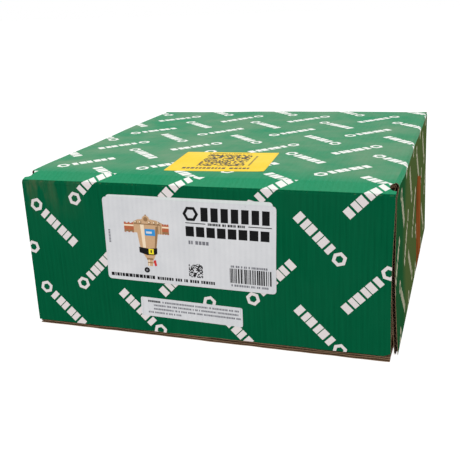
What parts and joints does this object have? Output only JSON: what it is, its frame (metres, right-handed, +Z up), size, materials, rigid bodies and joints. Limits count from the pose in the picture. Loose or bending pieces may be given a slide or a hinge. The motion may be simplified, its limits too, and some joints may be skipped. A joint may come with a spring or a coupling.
{
  "type": "boxed magnetic dirt separator",
  "caption": "Magnetic dirt separator for heating water, lying in its closed printed carton; the lid, flaps, magnet belt, drain valve and union move.",
  "frame": {"origin": "centre of the carton's base, on the surface it stands on", "axes": "+Z up, -Y towards the front flap with its label, +X to the right of it; the separator lies on its back, its bonnet towards -Y"},
  "size_m": [0.3101, 0.3043, 0.1382],
  "materials": {
    "printed_board": "matt, printed green, worn",
    "kraft_board": "matt, plain kraft",
    "white_label": "satin paper",
    "yellow_label": "satin paper",
    "blue_label": "gloss film",
    "packing_tape": "gloss film, reddish brown",
    "cast_brass": "cast, fine shot-blasted skin",
    "turned_brass": "machined, satin",
    "copper": "satin copper, slightly darkened",
    "stainless": "satin",
    "magnet_plating": "nickel plated",
    "black_plastic": "fine texture",
    "black_rubber": "matt",
    "green_rubber": "matt",
    "seat_plastic": "smooth white",
    "red_handle": "gloss red coating"
  },
  "bodies": {
    "carton": {"base_panel": "kraft_board", "front_inner_wall": "kraft_board", "back_wall": "printed_board", "left_inner_wall": "kraft_board", "right_inner_wall": "kraft_board", "front_cradle": "kraft_board", "rear_cradle": "kraft_board", "tape_tail": "packing_tape"},
    "lid": {"lid_panel": "printed_board", "top_sticker": "yellow_label"},
    "front_flap": {"front_flap": "printed_board", "old_label": "white_label", "product_label": "white_label", "notice_label": "white_label"},
    "left_flap": {"left_flap": "printed_board"},
    "right_flap": {"right_flap": "printed_board", "side_tape": "packing_tape"},
    "separator": {"body_shell": "cast_brass", "body_label": "blue_label", "bonnet": "cast_brass", "bonnet_gasket": "black_rubber", "bonnet_bolts": "stainless", "vent_plug": "turned_brass", "vent_plug_gasket": "black_rubber", "mesh_element": "stainless", "union_gasket": "green_rubber", "union_tailpiece": "copper", "union_press_oring": "black_rubber", "fixed_tailpiece": "copper", "fixed_seal": "green_rubber", "fixed_press_oring": "black_rubber", "drain_neck": "turned_brass", "neck_gasket": "black_rubber", "valve_body": "turned_brass", "upper_seat": "seat_plastic", "lower_seat": "seat_plastic", "stem_seal": "black_rubber", "gland_nut": "turned_brass"},
    "vent_cap": {"vent_cap": "turned_brass"},
    "magnet_belt": {"magnet_belt": "black_plastic", "belt_magnets": "magnet_plating", "belt_label": "yellow_label"},
    "union_nut": {"union_nut": "turned_brass"},
    "drain_handle": {"valve_ball": "magnet_plating", "valve_stem": "turned_brass", "drain_lever": "red_handle", "lever_screw": "stainless"},
    "drain_cap": {"drain_cap": "black_plastic", "cap_gasket": "black_rubber", "cap_strap": "black_rubber"}
  },
  "joints": [
    {"name": "separator_lift", "type": "slide", "parent": "carton", "child": "separator", "axis": [0, 0, 1], "range_m": [0, 0.15]},
    {"name": "lid_hinge", "type": "hinge", "parent": "carton", "child": "lid", "pos_m": [0, 0.152, 0.138], "axis": [-1, 0, 0], "range_deg": [0, 112]},
    {"name": "front_fold", "type": "hinge", "parent": "lid", "child": "front_flap", "pos_m": [0, -0.152, 0.133], "axis": [-1, 0, 0], "range_deg": [0, 100]},
    {"name": "left_fold", "type": "hinge", "parent": "lid", "child": "left_flap", "pos_m": [-0.155, 0, 0.138], "axis": [0, 1, 0], "range_deg": [0, 100]},
    {"name": "right_fold", "type": "hinge", "parent": "lid", "child": "right_flap", "pos_m": [0.155, 0, 0.138], "axis": [0, -1, 0], "range_deg": [0, 100]},
    {"name": "vent_cap_turn", "type": "hinge", "parent": "separator", "child": "vent_cap", "pos_m": [0, -0.112, 0.062], "axis": [0, -1, 0], "continuous": true},
    {"name": "belt_slide", "type": "slide", "parent": "separator", "child": "magnet_belt", "axis": [0, 1, 0], "range_m": [0, 0.05]},
    {"name": "union_nut_turn", "type": "hinge", "parent": "separator", "child": "union_nut", "pos_m": [-0.057, -0.066, 0.062], "axis": [-1, 0, 0], "continuous": true},
    {"name": "drain_lever_turn", "type": "hinge", "parent": "separator", "child": "drain_handle", "pos_m": [0, 0.084, 0.062], "axis": [-1, 0, 0], "range_deg": [0, 90]},
    {"name": "drain_cap_off", "type": "slide", "parent": "separator", "child": "drain_cap", "axis": [0.766, 0, 0.6428], "range_m": [0, 0.013]}
  ],
  "couplings": [
    {"joint": "lid_hinge", "follows": "separator_lift", "rad_per_m": 12.8}
  ]
}
